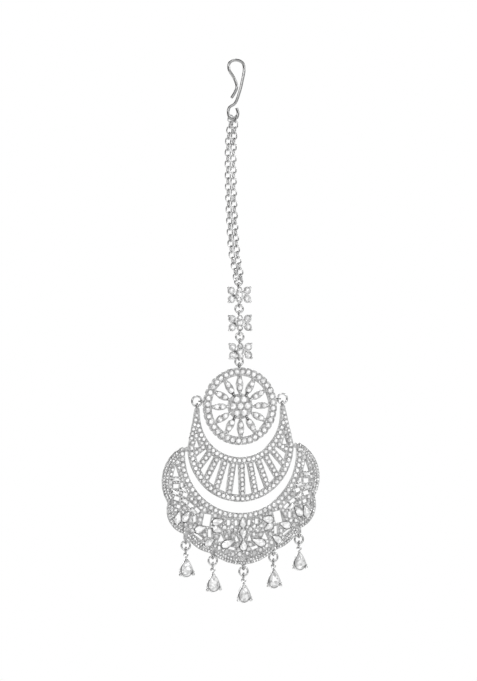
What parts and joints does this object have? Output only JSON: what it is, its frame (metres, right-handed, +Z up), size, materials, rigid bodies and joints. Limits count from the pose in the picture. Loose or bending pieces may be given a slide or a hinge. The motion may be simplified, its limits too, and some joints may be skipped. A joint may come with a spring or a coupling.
{
  "type": "maang tikka",
  "caption": "Head jewel worn on the hair parting: a wire hook and fine chains carry small florets, a round openwork disc and stone-set crescents with hanging pear drops.",
  "frame": {"origin": "underside of the wire at the top of the hook's crown, where the jewel hangs", "axes": "+Z up along the hanging jewel, -Y the stone-set front, +X to the right seen from the front"},
  "size_m": [0.0482, 0.0037, 0.1582],
  "materials": {
    "silver_wire": "bright silver-toned plating on base metal wire",
    "stone_set_silver": "bright silver-toned plate closely set with clear cut stones"
  },
  "bodies": {
    "hanging_chain": {"s_hook": "silver_wire", "chain_strand_left": "silver_wire", "chain_strand_right": "silver_wire", "chain_end_ring": "silver_wire", "floret_1": "stone_set_silver", "floret_2": "stone_set_silver", "floret_3": "stone_set_silver", "floret_ring_1": "silver_wire", "floret_ring_2": "silver_wire", "floret_ring_3": "silver_wire"},
    "disc_pendant": {"disc": "stone_set_silver", "side_ring_left": "silver_wire", "side_ring_right": "silver_wire"},
    "crescent_pendant": {"crescents": "stone_set_silver", "drop_ring_1": "silver_wire", "drop_ring_2": "silver_wire", "drop_ring_3": "silver_wire", "drop_ring_4": "silver_wire", "drop_ring_5": "silver_wire", "drop_link_1": "silver_wire", "drop_link_2": "silver_wire", "drop_link_3": "silver_wire", "drop_link_4": "silver_wire", "drop_link_5": "silver_wire", "drop_1": "stone_set_silver", "drop_2": "stone_set_silver", "drop_3": "stone_set_silver", "drop_4": "stone_set_silver", "drop_5": "stone_set_silver"}
  },
  "joints": [
    {"name": "pendant_swing", "type": "hinge", "parent": "hanging_chain", "child": "disc_pendant", "pos_m": [-0.0006, 0.00105, -0.08826], "axis": [1, 0, 0], "range_deg": [-45, 45]},
    {"name": "crescent_swing", "type": "hinge", "parent": "disc_pendant", "child": "crescent_pendant", "pos_m": [-0.0006, 0.00105, -0.09972], "axis": [1, 0, 0], "range_deg": [-45, 45]}
  ]
}
